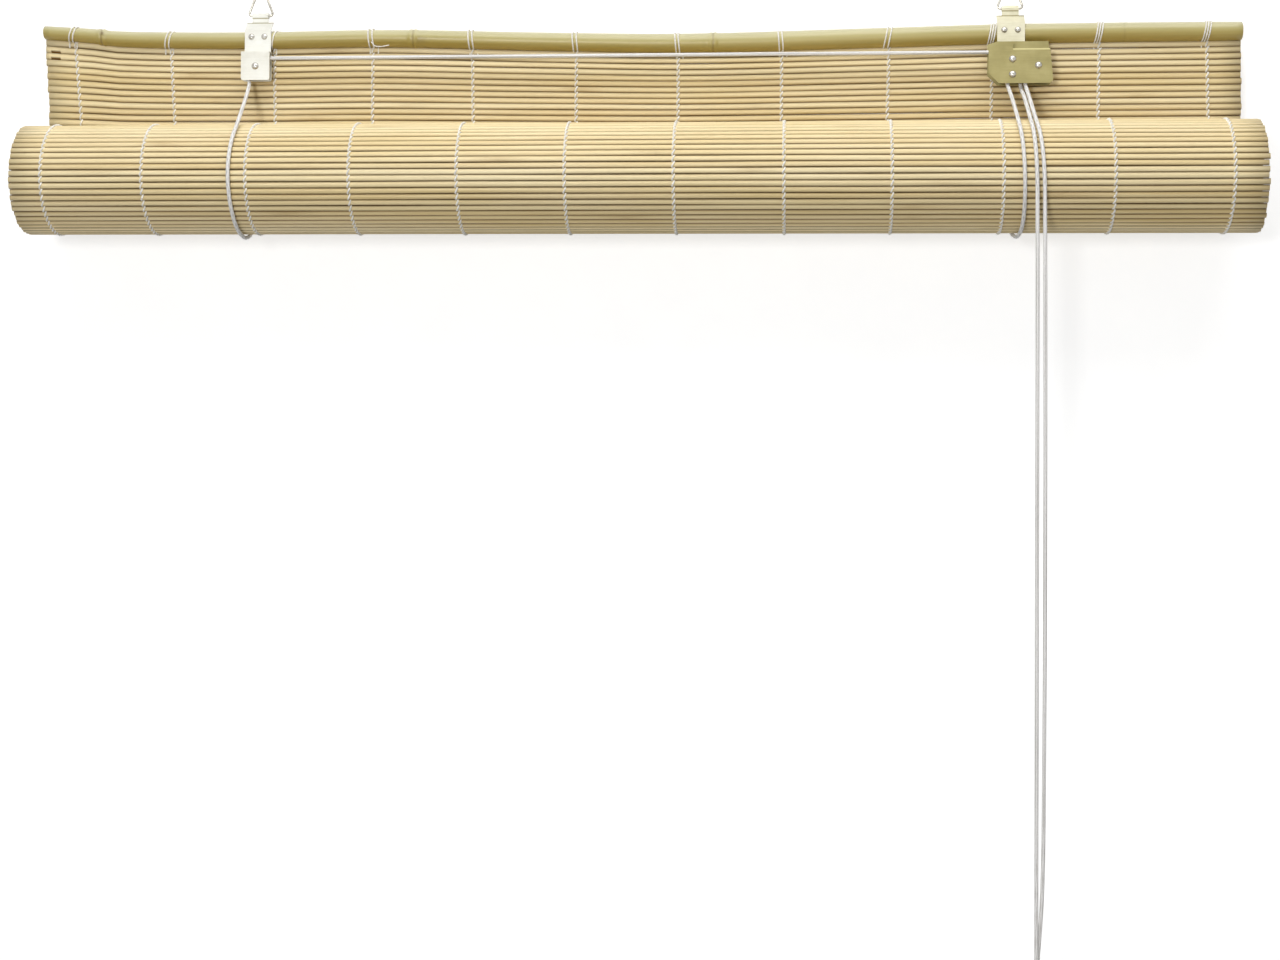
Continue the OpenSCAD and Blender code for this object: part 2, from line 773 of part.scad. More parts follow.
module cord_tails() {
    color("#f4f2ec")
        for (p = tail_routes)
            tube(p, cord_r, tube_sides);
}
module end_knots() {
    color("#f4f2ec")
        for (p = tail_routes)
            translate(p[len(p) - 1] - [0, 0, knot_r + seat_gap])
                sphere(r = knot_r);
}

head_pole();
bottom_pole();
hanging_mat();
rolled_mat();
warp_threads();
pole_lashings();
left_hanger();
right_hanger();
left_ring();
right_ring();
bracket_screws();
left_housing();
left_pulley();
left_axle();
lock_back_plate();
lock_front_plate();
lock_pulley();
lock_axle();
lock_guide();
lock_cam();
lock_cam_axle();
cord_staples();
left_cord();
right_cord();
anchor_knots();
cord_hank();
hank_tie();
cord_tails();
end_knots();
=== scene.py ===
"""Looks of a bamboo roll-up blind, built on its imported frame. Lengths are in metres."""

import math
import random

import bpy
from mathutils import Euler, Matrix, Vector


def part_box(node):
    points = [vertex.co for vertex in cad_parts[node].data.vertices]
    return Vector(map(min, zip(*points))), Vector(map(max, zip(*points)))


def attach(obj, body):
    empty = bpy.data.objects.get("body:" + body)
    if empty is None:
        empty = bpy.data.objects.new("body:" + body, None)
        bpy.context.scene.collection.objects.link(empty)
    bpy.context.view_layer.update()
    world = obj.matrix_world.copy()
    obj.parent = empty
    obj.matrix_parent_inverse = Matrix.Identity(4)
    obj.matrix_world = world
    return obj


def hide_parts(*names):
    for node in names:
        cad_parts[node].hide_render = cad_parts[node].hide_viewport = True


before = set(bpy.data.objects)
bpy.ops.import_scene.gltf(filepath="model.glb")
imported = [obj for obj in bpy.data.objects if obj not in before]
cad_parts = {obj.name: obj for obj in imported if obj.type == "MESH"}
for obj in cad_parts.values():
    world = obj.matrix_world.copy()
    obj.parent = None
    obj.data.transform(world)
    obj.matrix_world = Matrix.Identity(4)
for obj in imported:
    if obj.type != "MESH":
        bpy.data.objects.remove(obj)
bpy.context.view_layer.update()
MM = 0.001

# Camera: the photograph's viewing angle, fitted to its 1280 by 960 pixels
IMAGE_W = 1280
FOCAL_PX = 2044
SHIFT_PX = -100
SENSOR_W = 36
CAMERA_AT = (0.1159, -1.3621, -0.2858)
CAMERA_YAW = 4.53
CAMERA_PITCH = 0.93
CAMERA_ROLL = 0.31

# Mat: slats across the blind with how fast painted groove shade grows to their edges, and the spiral of the
# roll
SLAT_PITCH = 4 * MM
SLAT_T = 2.3 * MM
SLAT_W = 4.2 * MM
SLAT_GROOVE_SHADE = 2.4
ROLLED_W = 3.9 * MM
ROLLED_GROOVE_SHADE = 4
SCAR_LEN = 5 * MM
TURN_PITCH = 2.65 * MM
ROLL_R0 = 36.35 * MM
ROLL_R1 = 7.45 * MM

# Ends of the slats: slanted at the left, standing out at the right, and slipped along the roll
LEFT_SLANT = 5.8 * MM
LEFT_OVER = 1.5 * MM
RIGHT_OVER_MM = (1.2, 2.0)
ROLL_SLIP = 6 * MM
SLIP_SLATS = 90

# Fineness of the slats: those inside the roll are plainer
FINE_SLATS = 60
HANGING_STATIONS = 48
FINE_STATIONS = 40
FINE_SIDES = 12
PLAIN_STATIONS = 3
PLAIN_SIDES = 6

# Slits painted dark as shadow in gaps between slats: place, half length, how far up the slat's side, and
# which slats below the pole
SLIT_X = -0.3947
SLIT_HALF = 3 * MM
SLIT_TOP = -0.45
SLIT_SLATS = (2, 3)

# Painted light that makes the hanging slats' left ends paler, its length, and that on the roll's top
END_PAINTED_LIGHT = 0.45
END_PAINTED_LIGHT_LEN = 18 * MM
TOP_PAINTED_LIGHT = 0.6

# Threads: their half width in the frame, the sizes of the strands, and the slats to their place on the roll
THREAD_COUNT = 12
THREAD_HALF = 0.45 * MM
THREAD_R = 0.6 * MM
THREAD_SWING = 0.7 * MM
LASH_R = 0.5 * MM
DRIFT_SLATS = 12

# How far each thread strays along the mat, in millimetres: at the pole, above the roll, on the roll
THREAD_STRAYS = [
    (-1.5, 7, 1.5), (-3.5, 2, -0.5), (-1, 1, -1), (-2, -2, -2.5), (-3, -1.5, -1.5), (-1.5, -1.5, -1),
    (-2, -2, -0.5), (-2, -2, 0.5), (0, -2, -0.5), (-1, -2.5, 0), (-0.5, -2, 0), (0, 1.5, 4),
]

# Lashing with a loose end, and the steps of that end from its lashing, in millimetres
LOOSE_END = 3
LOOSE_STEPS = [
    (0, 0, 0), (1, -0.7, -1.2), (2.2, -0.9, -2.6), (3.8, -0.8, -3.3), (6.4, -0.9, -3.4),
    (9.4, -1.1, -3.1), (12.4, -1.4, -2.6),
]

# Poles: swell and length of a node, wall, open ends and their rims, and fineness
NODE_SWELL = 0.7 * MM
NODE_LEN = 7 * MM
POLE_WALL = 2.6 * MM
BORE_DEPTH = 12 * MM
RIM_R = 0.4 * MM
CULM_SPANS = 160
CULM_SIDES = 28

# Nodes of both poles, each with its place along the pole and its strength
HEAD_NODES = [(-0.3613, 1), (-0.1463, 0.8), (0.056, 0.8), (0.3257, 0.2)]
CORE_NODES = [(-0.21, 1), (0.15, 1)]

# Bud scars of the head pole: place along it, angle round it from below, size and darkness
BUDS = [(-0.3606, math.radians(110), 1.4 * MM, 1), (-0.1415, math.radians(75), 2.6 * MM, 0.3)]

# Bow of the head pole, and its taper from the thick end: place along it with lift or radius
POLE_BOW = [
    (-0.402, 0.0065), (-0.37, 0.0041), (-0.351, 0.0019), (-0.311, 0.0006), (-0.252, 0),
    (-0.163, 0.0006), (-0.055, -0.0024), (0.04, -0.0042), (0.167, -0.0019), (0.252, 0), (0.402, 0.0005),
]
POLE_GIRTH = [
    (-0.402, 0.0046), (-0.37, 0.0049), (-0.35, 0.0053), (-0.252, 0.0057), (-0.17, 0.0059),
    (-0.14, 0.0061), (0, 0.0063), (0.06, 0.0064), (0.252, 0.0066), (0.38, 0.0063), (0.402, 0.006),
]

# Plates: a hanger's rolled eye, its tab with the eye and its painted crease shade, the lock's step and the
# width of a painted highlight along it, and softened edges
EYE_D = 3.8 * MM
TAB_H = 7.1 * MM
CREASE_SHADE_HALF = 0.7 * MM
LOCK_STEP = 4.3 * MM
HIGHLIGHT_W = 0.6 * MM
EDGE_R = 0.3 * MM
FRONT_EDGE_R = 0.45 * MM

# Cords: diameter, braid, declared lengths, and the hank that holds their spare length
CORD_D = 2.5 * MM
BRAID_TURN = 3.2 * CORD_D
BRAID_STRANDS = 4
LEFT_LENGTH = 4.2
RIGHT_LENGTH = 3.7
HANK_AT = Vector((0.2747, -0.061, -0.685))
HANK_RUN = 0.046
FOLD_RADII = (12.7 * MM, 10.1 * MM, 7.5 * MM)
HANK_LAYERS = 6
LAYER_PITCH = 5.2 * MM
FOLD_STEPS = 6

# Knots at both ends of the cords, and the thread that ties the hank
KNOT_SIZE = 0.72 * MM
KNOT_R = 1.1 * MM
KNOT_STEPS = 24
END_KNOT_DROP = 1.8 * MM
ANCHOR_KNOT_RISE = 2.4 * MM
TIE_R = 0.7 * MM
TIE_HALF_X = 14.6 * MM
TIE_HALF_Y = 16.2 * MM
TIE_PITCH = 1.45 * MM
TIE_TURNS = 4
TIE_STEPS = 28

# Routes of the cords, as in the part's source
LEFT_ROUTE = [
    (-0.257, 0.0085, -0.034), (-0.257, 0.0068, -0.044), (-0.257, 0.004, -0.054),
    (-0.2568, 0.003, -0.068), (-0.254, 0.003, -0.132), (-0.2536, 0.0005, -0.146),
    (-0.2532, -0.0065, -0.1575), (-0.2526, -0.017, -0.166), (-0.252, -0.03, -0.1705),
    (-0.2518, -0.043, -0.1705), (-0.252, -0.056, -0.166), (-0.2524, -0.066, -0.157),
    (-0.2528, -0.0725, -0.145), (-0.253, -0.0745, -0.132), (-0.2528, -0.072, -0.119),
    (-0.2524, -0.0655, -0.1075), (-0.2525, -0.057, -0.1), (-0.2562, -0.014, -0.067),
    (-0.2567, -0.0114, -0.0635), (-0.2576, -0.011, -0.0535), (-0.256, -0.011, -0.0495),
    (-0.252, -0.011, -0.0478), (-0.248, -0.011, -0.0478), (0.248, -0.011, -0.0478),
    (0.252, -0.011, -0.0478), (0.256, -0.011, -0.0495), (0.2576, -0.011, -0.0535),
    (0.2574, -0.011, -0.06), (0.2576, -0.011, -0.0665), (0.2579, -0.0116, -0.0705),
    (0.2582, -0.0145, -0.0738), (0.2585, -0.02, -0.0765), (0.2598, -0.055, -0.099),
    (0.2604, -0.0655, -0.1075), (0.261, -0.072, -0.119), (0.2615, -0.0745, -0.132),
    (0.2618, -0.0748, -0.146), (0.262, -0.0748, -0.56), (0.262, -0.0753, -0.61),
    (0.262, -0.0755, -0.654),
]
RIGHT_ROUTE = [
    (0.247, 0.0085, -0.034), (0.247, 0.0068, -0.044), (0.247, 0.004, -0.054),
    (0.247, 0.003, -0.068), (0.2476, 0.003, -0.132), (0.2484, 0.0005, -0.146),
    (0.2496, -0.0065, -0.1575), (0.251, -0.017, -0.166), (0.2524, -0.03, -0.1705),
    (0.2536, -0.043, -0.1705), (0.2544, -0.056, -0.166), (0.2546, -0.066, -0.157),
    (0.2544, -0.0725, -0.145), (0.254, -0.0745, -0.132), (0.2534, -0.072, -0.119),
    (0.2526, -0.0655, -0.1075), (0.252, -0.055, -0.099), (0.2502, -0.023, -0.077),
    (0.2496, -0.018, -0.0732), (0.249, -0.0154, -0.07), (0.2485, -0.015, -0.0665),
    (0.2482, -0.015, -0.061), (0.2464, -0.015, -0.0535), (0.248, -0.015, -0.0495),
    (0.252, -0.015, -0.0478), (0.256, -0.015, -0.0495), (0.2576, -0.015, -0.0535),
    (0.26, -0.015, -0.0665), (0.2605, -0.0154, -0.07), (0.261, -0.018, -0.0732),
    (0.2615, -0.023, -0.077), (0.2632, -0.055, -0.099), (0.2642, -0.0655, -0.1075),
    (0.2652, -0.072, -0.119), (0.266, -0.0745, -0.132), (0.2664, -0.0748, -0.146),
    (0.2664, -0.0748, -0.54), (0.2654, -0.0736, -0.59), (0.263, -0.0726, -0.628),
    (0.262, -0.0726, -0.654),
]
LEFT_TAIL = [(0.262, -0.05, -0.7165), (0.262, -0.051, -0.722), (0.262, -0.053, -0.731)]
RIGHT_TAIL = [(0.262, -0.0465, -0.7165), (0.262, -0.0455, -0.722), (0.262, -0.0435, -0.731)]

# Places read from the frame
pole_low, pole_high = (Vector(corner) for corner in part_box("head_pole"))
core_low, core_high = (Vector(corner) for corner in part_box("bottom_pole"))
mat_high = Vector(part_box("hanging_mat")[1])
thread_low, thread_high = (Vector(corner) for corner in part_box("warp_threads"))
hanger_low, hanger_high = (Vector(corner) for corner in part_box("right_hanger"))
POLE_Z = (pole_low.z + pole_high.z) / 2
POLE_R = (pole_high.z - pole_low.z) / 2 - NODE_SWELL
ROLL_Z = (core_low.z + core_high.z) / 2
ROLL_Y = (core_low.y + core_high.y) / 2
CORE_R = (core_high.z - core_low.z) / 2
HALF_W = mat_high.x
FLAT_SLATS = round((mat_high.z - ROLL_Z) / SLAT_PITCH - 0.45)
STEP_X = (hanger_low.x + hanger_high.x) / 2
STEP_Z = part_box("lock_front_plate")[1][2] - LOCK_STEP
THREADS = [
    thread_low.x + THREAD_HALF + i * (thread_high.x - thread_low.x - 2 * THREAD_HALF) / (THREAD_COUNT - 1)
    for i in range(THREAD_COUNT)
]


def add_camera():
    """Camera at the photograph's viewpoint"""
    data = bpy.data.cameras.new("camera")
    data.sensor_width = SENSOR_W
    data.lens = SENSOR_W * FOCAL_PX / IMAGE_W
    data.shift_y = SHIFT_PX / IMAGE_W
    data.clip_start = 0.01
    camera = bpy.data.objects.new("camera", data)
    aim = Euler((math.radians(90 + CAMERA_PITCH), 0, math.radians(CAMERA_YAW))).to_matrix().to_4x4()
    roll = Matrix.Rotation(math.radians(CAMERA_ROLL), 4, "Z")
    camera.matrix_world = Matrix.Translation(CAMERA_AT) @ aim @ roll
    bpy.context.collection.objects.link(camera)
    bpy.context.scene.camera = camera


def srgb(red, green, blue):
    """Colour from 0 to 255 in each channel, as a shader takes it"""
    shares = [c / 255 for c in (red, green, blue)]
    return tuple(c / 12.92 if c <= 0.04045 else ((c + 0.055) / 1.055) ** 2.4 for c in shares) + (1,)


class Finish:
    """A procedural material in the making"""

    def __init__(self, name, roughness, metallic=0.0):
        self.material = bpy.data.materials.new(name)
        self.material.use_nodes = True
        self.tree = self.material.node_tree
        self.shader = self.tree.nodes["Principled BSDF"]
        self.shader.inputs["Roughness"].default_value = roughness
        self.shader.inputs["Metallic"].default_value = metallic

    def node(self, kind, settings=None, **inputs):
        """A node of that kind, with its settings, and its inputs set or linked by name"""
        made = self.tree.nodes.new("ShaderNode" + kind)
        for key, value in (settings or {}).items():
            setattr(made, key, value)
        for key, value in inputs.items():
            socket = made.inputs[key.replace("_", " ")]
            if isinstance(value, bpy.types.NodeSocket):
                self.tree.links.new(value, socket)
            else:
                socket.default_value = value
        return made

    def place(self, scale, output="Object"):
        """Coordinates of the surface, stretched by scale"""
        coordinates = self.node("TexCoord").outputs[output]
        return self.node("Mapping", Vector=coordinates, Scale=scale).outputs["Vector"]

    def noise(self, scale, detail):
        """Noise from 0 to 1 on the object's own coordinates, stretched by scale"""
        return self.node("TexNoise", Vector=self.place(scale), Scale=1.0, Detail=detail).outputs["Fac"]

    def combine(self, operation, first, second):
        """Result of a mathematical operation on two sockets"""
        made = self.node("Math", {"operation": operation})
        self.tree.links.new(first, made.inputs[0])
        self.tree.links.new(second, made.inputs[1])
        return made.outputs[0]

    def ramp(self, share, *stops):
        """Colour at a share, from stops of a position and a colour each"""
        made = self.node("ValToRGB", Fac=share)
        while len(made.color_ramp.elements) < len(stops):
            made.color_ramp.elements.new(0.5)
        for element, (position, colour) in zip(made.color_ramp.elements, stops):
            element.position = position
            element.color = colour
        return made.outputs["Color"]

    def blend(self, share, first, second, kind="MIX"):
        made = self.node("MixRGB", {"blend_type": kind}, Fac=share, Color1=first, Color2=second)
        return made.outputs["Color"]

    def attribute(self, name):
        """A mesh attribute, as a node with one output for each channel"""
        made = self.node("Attribute", {"attribute_name": name})
        return self.node("SeparateColor", Color=made.outputs["Color"])

    def colour(self, socket):
        self.tree.links.new(socket, self.shader.inputs["Base Color"])

    def rough(self, share, low, high):
        made = self.node("MapRange", Value=share, To_Min=low, To_Max=high)
        self.tree.links.new(made.outputs["Result"], self.shader.inputs["Roughness"])

    def bump(self, height, depth, strength):
        made = self.node("Bump", Height=height, Distance=depth, Strength=strength)
        self.tree.links.new(made.outputs["Normal"], self.shader.inputs["Normal"])


def slat_finish():
    """Split bamboo: each slat a little different, with fine fibres along it, painted shade at its edges and
    painted shadow in its slits
    """
    made = Finish("split_bamboo", 0.5)
    tone = made.attribute("tone")
    fibre = made.noise((14, 900, 900), 4.0)
    patch = made.noise((6, 40, 40), 2.0)
    base = made.ramp(
        tone.outputs["Red"],
        (0.0, srgb(216, 191, 136)), (0.5, srgb(231, 209, 157)), (1.0, srgb(241, 224, 179)))
    streaked = made.blend(0.3, base, made.ramp(
        fibre, (0.3, srgb(200, 170, 110)), (0.62, srgb(244, 229, 190))))
    patched = made.blend(0.18, streaked, made.ramp(
        patch, (0.35, srgb(206, 184, 122)), (0.7, srgb(246, 234, 202))))
    scarred = made.blend(tone.outputs["Green"], patched, srgb(150, 116, 62))
    # Blue: painted shade in the grooves between slats, and painted shadow in the slits
    edged = made.blend(tone.outputs["Blue"], scarred, srgb(94, 64, 8))
    made.colour(edged)
    made.rough(fibre, 0.4, 0.62)
    made.bump(fibre, 0.1 * MM, 0.5)
    made.shader.inputs["Specular IOR Level"].default_value = 0.35
    return made.material


def culm_finish():
    """Whole bamboo: streaked skin, painted light and reflection that make it paler above and golden below,
    dark scars, painted shade deep in its open ends, and pale cut ends
    """
    made = Finish("bamboo_culm", 0.4)
    tone = made.attribute("tone")
    streak = made.noise((7, 420, 420), 4.0)
    cloud = made.noise((9, 60, 60), 3.0)
    base = made.ramp(
        cloud, (0.3, srgb(151, 139, 79)), (0.55, srgb(171, 160, 106)), (0.75, srgb(182, 168, 108)))
    streaked = made.blend(0.32, base, made.ramp(
        streak, (0.3, srgb(132, 115, 54)), (0.65, srgb(198, 188, 140))))
    # Painted light and reflection: paler on top and golden underneath, by the height round the pole
    painted_light_by_side = made.blend(0.62, streaked, made.ramp(
        tone.outputs["Red"],
        (0.1, srgb(172, 144, 52)), (0.35, srgb(168, 146, 62)),
        (0.6, srgb(174, 164, 106)), (0.9, srgb(206, 202, 170))))
    # Green: dark node and bud scars, and painted shade deep in the open ends
    scarred = made.blend(tone.outputs["Green"], painted_light_by_side, srgb(96, 76, 38))
    cut = made.blend(tone.outputs["Blue"], scarred, srgb(219, 199, 142))
    made.colour(cut)
    made.rough(streak, 0.3, 0.5)
    made.bump(streak, 0.1 * MM, 0.5)
    made.shader.inputs["Coat Weight"].default_value = 0.12
    made.shader.inputs["Coat Roughness"].default_value = 0.3
    return made.material


def thread_finish():
    """White cotton thread, spun from fine fibres"""
    made = Finish("cotton_thread", 0.85)
    spun = made.noise((1500, 1500, 700), 3.0)
    made.colour(made.ramp(spun, (0.3, srgb(214, 209, 198)), (0.65, srgb(246, 244, 238))))
    made.bump(spun, 0.15 * MM, 0.7)
    made.shader.inputs["Sheen Weight"].default_value = 0.2
    return made.material


def cord_finish(length):
    """White braided cord: two crossing sets of strands along its length"""
    made = Finish("braided_cord", 0.75)
    braid = []
    for lean in (1, -1):
        skew = made.place((length / BRAID_TURN, lean * BRAID_STRANDS, 1), "UV")
        parts = made.node("SeparateXYZ", Vector=skew)
        angle = made.combine("ADD", parts.outputs["X"], parts.outputs["Y"])
        wave = made.node("Math", {"operation": "PINGPONG"})
        made.tree.links.new(angle, wave.inputs[0])
        wave.inputs[1].default_value = 0.5
        braid.append(wave.outputs[0])
    weave = made.combine("MAXIMUM", *braid)
    spun = made.noise((900, 900, 900), 2.0)
    lit = made.ramp(weave, (0.12, srgb(184, 181, 177)), (0.45, srgb(232, 231, 229)))
    fibres = made.ramp(spun, (0.3, srgb(214, 211, 206)), (0.7, srgb(252, 251, 249)))
    made.colour(made.blend(0.2, lit, fibres))
    made.bump(weave, 0.5 * MM, 0.5)
    made.shader.inputs["Sheen Weight"].default_value = 0.15
    return made.material


def metal_finish(name, off_plain, plain, bright, roughness, metallic, detail=None):
    """Plated sheet metal: cloudy plating with fine brushed lines, and a detail over it where one is given"""
    made = Finish(name, roughness, metallic)
    cloud = made.noise((60, 60, 60), 4.0)
    brushed = made.noise((90, 1200, 1200), 2.0)
    base = made.ramp(cloud, (0.3, off_plain), (0.5, plain), (0.72, bright))
    plated = made.blend(0.15, base, made.ramp(brushed, (0.35, off_plain), (0.65, bright)))
    made.colour(detail(made, plated) if detail else plated)
    made.rough(brushed, roughness - 0.08, roughness + 0.1)
    made.bump(brushed, 0.03 * MM, 0.4)
    return made.material


def hanger_crease_shade(made, plated):
    """Painted shade in the crease under a hanger's rolled eye, and in the one at its shoulders"""
    span = 2 * TAB_H
    clear = srgb(255, 255, 255)
    crease_shade = srgb(158, 149, 108)
    height = made.node("SeparateXYZ", Vector=made.place((1, 1, 1))).outputs["Z"]
    share = made.node("MapRange", Value=height, From_Min=hanger_high.z - span, From_Max=hanger_high.z)
    stops = []
    for drop in (TAB_H, EYE_D):
        for step, colour in ((-1, clear), (0, crease_shade), (1, clear)):
            stops.append((1 - (drop - step * CREASE_SHADE_HALF) / span, colour))
    return made.blend(1.0, plated, made.ramp(share.outputs["Result"], *stops), "MULTIPLY")


def step_highlight(made, plated):
    """Painted highlight along the stepped edge of the lock's front plate"""
    parts = made.node("SeparateXYZ", Vector=made.place((1, 1, 1)))
    up = made.node(
        "MapRange", Value=parts.outputs["Z"], From_Min=STEP_Z - 2 * HIGHLIGHT_W, From_Max=STEP_Z - HIGHLIGHT_W)
    along = made.node("MapRange", Value=parts.outputs["X"], From_Min=STEP_X, From_Max=STEP_X + HIGHLIGHT_W)
    # Painted highlight on the stepped edge
    off_plain = made.blend(up.outputs["Result"], plated, srgb(204, 195, 140))
    return made.blend(along.outputs["Result"], plated, off_plain)


class Shape:
    """Points, faces and tones gathered for one mesh"""

    def __init__(self):
        self.points = []
        self.faces = []
        self.flat = []
        self.tones = []

    def loft(self, rings, tones, capped=True):
        """Skin over rings of equal length, each with one tone or a list of its points' tones"""
        count = len(rings[0])
        base = len(self.points)
        for ring, tone in zip(rings, tones):
            self.points.extend(ring)
            self.tones.extend(tone if isinstance(tone, list) else [tone] * count)
        for i in range(len(rings) - 1):
            for j in range(count):
                a = base + i * count + j
                b = base + i * count + (j + 1) % count
                self.faces.append((a, b, b + count, a + count))
                self.flat.append(False)
        if capped:
            last = base + (len(rings) - 1) * count
            self.faces.append(tuple(range(base + count - 1, base - 1, -1)))
            self.faces.append(tuple(range(last, last + count)))
            self.flat.extend([True, True])

    def tube(self, path, radius, sides=6, tone=(0.5, 0, 0)):
        """Round thread along a path"""
        rings = []
        side = Vector((1, 0.3, 0.2))
        for i, point in enumerate(path):
            heading = (path[min(i + 1, len(path) - 1)] - path[max(i - 1, 0)]).normalized()
            side = (side - side.dot(heading) * heading).normalized()
            over = heading.cross(side)
            angles = [2 * math.pi * j / sides for j in range(sides)]
            rings.append([point + radius * (math.cos(a) * side + math.sin(a) * over) for a in angles])
        self.loft(rings, [tone] * len(rings))

    def build(self, name, material, slot, *nodes):
        """Makes the mesh and puts it into the scene"""
        mesh = bpy.data.meshes.new(name)
        mesh.from_pydata(self.points, [], self.faces)
        colours = mesh.color_attributes.new("tone", "FLOAT_COLOR", "POINT")
        for datum, tone in zip(colours.data, self.tones):
            datum.color = (*tone, 1)
        for face, flat in zip(mesh.polygons, self.flat):
            face.use_smooth = not flat
        mesh.update()
        made = bpy.data.objects.new(name, mesh)
        return settle(made, material, slot, *nodes)


def settle(made, material, slot, *nodes):
    """Puts a piece into the scene, on the head, in place of CAD nodes"""
    bpy.context.collection.objects.link(made)
    made.data.materials.append(material)
    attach(made, "head")
    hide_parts(*nodes)
    return made


def add_curve(name, points, radius, material, slot, *nodes):
    """One smooth round curve through points"""
    data = bpy.data.curves.new(name, "CURVE")
    data.dimensions = "3D"
    data.bevel_depth = radius
    data.bevel_resolution = 4
    data.use_fill_caps = True
    data.resolution_u = 4
    spline = data.splines.new("BEZIER")
    spline.bezier_points.add(len(points) - 1)
    for knot, point in zip(spline.bezier_points, points):
        knot.co = point
        knot.handle_left_type = "AUTO"
        knot.handle_right_type = "AUTO"
    made = bpy.data.objects.new(name, data)
    return settle(made, material, slot, *nodes)


def hank_path(y_start):
    """Turns of a cord in the hank, from its left outer run to the run that the free end leaves"""
    top = HANK_AT.z + HANK_RUN / 2
    foot = HANK_AT.z - HANK_RUN / 2
    path = []
    for layer in range(HANK_LAYERS):
        radii = FOLD_RADII if layer % 2 == 0 else FOLD_RADII[::-1]
        y = y_start + layer * LAYER_PITCH
        for k, r in enumerate(radii):
            ends = k == len(radii) - 1
            next_r = r if ends else radii[k + 1]
            rise = LAYER_PITCH if ends else 0
            path.append((HANK_AT.x - r, y, top))
            path.append((HANK_AT.x - r, y, HANK_AT.z))
            if ends and layer == HANK_LAYERS - 1:
                path.append((HANK_AT.x - r, y, foot))
                break
            for step in range(FOLD_STEPS + 1):
                a = math.pi * (1 + step / FOLD_STEPS)
                path.append((HANK_AT.x + r * math.cos(a), y, foot + r * math.sin(a)))
            path.append((HANK_AT.x + r, y, HANK_AT.z))
            for step in range(FOLD_STEPS):
                share = step / FOLD_STEPS
                fold_r = r + (next_r - r) * min(1, 2 * share)
                fold_y = y + rise * max(0, 2 * share - 1)
                a = math.pi * share
                path.append((HANK_AT.x + fold_r * math.cos(a), fold_y, top + fold_r * math.sin(a)))
    return path


def knot_path(at):
    """Overhand knot about a point"""
    path = []
    for k in range(KNOT_STEPS + 1):
        t = 2 * math.pi * k / KNOT_STEPS + 0.4
        path.append(at + KNOT_SIZE * Vector((
            math.sin(t) + 2 * math.sin(2 * t), 1.3 * -math.sin(3 * t), math.cos(t) - 2 * math.cos(2 * t))))
    return path


def tie_path():
    """Thread wound round the waist of the hank"""
    path = []
    for k in range(TIE_TURNS * TIE_STEPS + 1):
        a = 2 * math.pi * k / TIE_STEPS
        square = (math.cos(a) ** 4 + math.sin(a) ** 4) ** 0.25
        rise = (k / TIE_STEPS - TIE_TURNS / 2) * TIE_PITCH
        across = TIE_HALF_X * math.cos(a) / square
        path.append(HANK_AT + Vector((across, TIE_HALF_Y * math.sin(a) / square, rise)))
    return path


def add_cords():
    """Both cords from their anchors behind the pole to the knots at their free ends"""
    tie = add_curve("hank_tie_thread", tie_path(), TIE_R, thread_finish(), "cord", "hank_tie")
    rows = [
        ("left_cord_line", LEFT_ROUTE, LEFT_TAIL, LEFT_LENGTH,
         ("left_cord", "cord_hank", "end_knots")),
        ("right_cord_line", RIGHT_ROUTE, RIGHT_TAIL, RIGHT_LENGTH,
         ("right_cord", "cord_tails", "anchor_knots")),
    ]
    for name, route, tail, length, nodes in rows:
        material = cord_finish(length)
        points = route + hank_path(route[-1][1]) + tail
        line = add_curve(name, points, CORD_D / 2, material, "cord", *nodes)
        end = Vector(tail[-1]) - Vector((0, 0, END_KNOT_DROP))
        start = Vector(route[0]) + Vector((0, 0, ANCHOR_KNOT_RISE))
        knots = [
            add_curve(f"{name}_{place}_knot", knot_path(at), KNOT_R, material, "cord")
            for place, at in (("end", end), ("anchor", start))
        ]


def between(table, x):
    """Value at x on the smooth line through a table's rows"""
    last = len(table) - 1
    k = max(i for i in range(last) if table[i][0] <= x or i == 0)
    (x0, z0), (x1, z1) = table[k], table[k + 1]
    share = min(max((x - x0) / (x1 - x0), 0), 1)
    before = table[max(k - 1, 0)]
    after = table[min(k + 2, last)]
    slope0 = (z1 - before[1]) / (x1 - before[0])
    slope1 = (after[1] - z0) / (after[0] - x0)
    span = x1 - x0
    return (
        (1 + 2 * share) * (1 - share) ** 2 * z0 + share * (1 - share) ** 2 * span * slope0
        + share ** 2 * (3 - 2 * share) * z1 + share ** 2 * (share - 1) * span * slope1)


def pole_axis(x):
    """Middle of the head pole, whose front stays against the hangers"""
    return Vector((x, between(POLE_GIRTH, x) - POLE_R, POLE_Z + between(POLE_BOW, x)))


def slat_place(u):
    """Centre and outward side of the mat at slat number u: below 0 it hangs, from 0 on it is rolled"""
    if u < 0:
        return Vector((0, 0, ROLL_Z - u * SLAT_PITCH)), Vector((0, 1, 0))
    rate = TURN_PITCH / (2 * math.pi)
    r = math.sqrt(max(ROLL_R0 ** 2 - 2 * rate * u * SLAT_PITCH, 0))
    a = (ROLL_R0 - r) / rate
    outward = Vector((0, math.cos(a), -math.sin(a)))
    return Vector((0, ROLL_Y, ROLL_Z)) + r * outward, outward


def hang_lift(u, x):
    """How far the mat at slat number u is lifted where it is drawn up to the pole"""
    drawn_up = POLE_Z + between(POLE_BOW, x) - between(POLE_GIRTH, x) - mat_high.z
    return drawn_up * max(0, -u / FLAT_SLATS) ** 1.3


